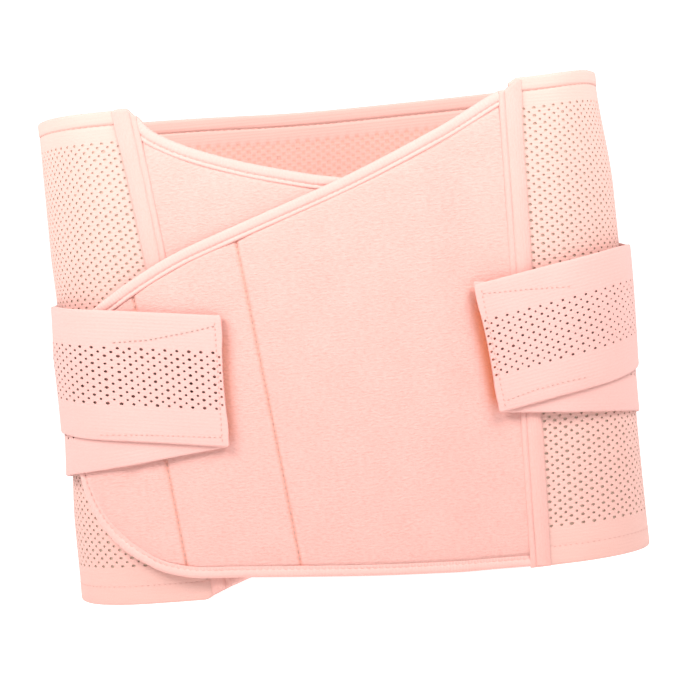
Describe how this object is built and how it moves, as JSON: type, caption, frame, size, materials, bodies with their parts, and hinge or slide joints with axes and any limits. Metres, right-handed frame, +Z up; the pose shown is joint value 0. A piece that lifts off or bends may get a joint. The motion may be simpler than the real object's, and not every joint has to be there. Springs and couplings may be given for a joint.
{
  "type": "postpartum belly band",
  "caption": "Elastic belly wrap fastened into a standing loop: mesh back and sides, crossed padded front flaps with bound edges, and paired elastic straps closing over the front.",
  "frame": {"origin": "middle of the object's box on the plane of its lower rim", "axes": "+Z up along the wearer's body, +X to the viewer's right when facing the crossed flaps, +Y from the front to the back"},
  "size_m": [0.3036, 0.1258, 0.247],
  "materials": {
    "mesh_elastic": "pale peach knitted elastic mesh with oval holes",
    "channel_tape": "peach woven tape with sewn edges",
    "flap_fabric": "peach brushed loop fabric over thin padding",
    "binding_tape": "cream peach folded stretch tape",
    "strap_elastic": "pale peach ribbed elastic with a mesh middle",
    "hook_tape": "salmon hook tape"
  },
  "bodies": {
    "root": {"mesh_wrap": "mesh_elastic", "left_bone_channel": "channel_tape", "right_bone_channel": "channel_tape", "under_flap": "flap_fabric", "under_flap_binding": "binding_tape", "over_flap": "flap_fabric", "over_flap_binding": "binding_tape", "flap_hook_pad": "hook_tape", "left_strap_lower": "strap_elastic", "left_strap_upper": "strap_elastic", "left_strap_hook_pad": "hook_tape", "right_strap_lower": "strap_elastic", "right_strap_upper": "strap_elastic", "right_strap_hook_pad": "hook_tape"}
  },
  "joints": []
}
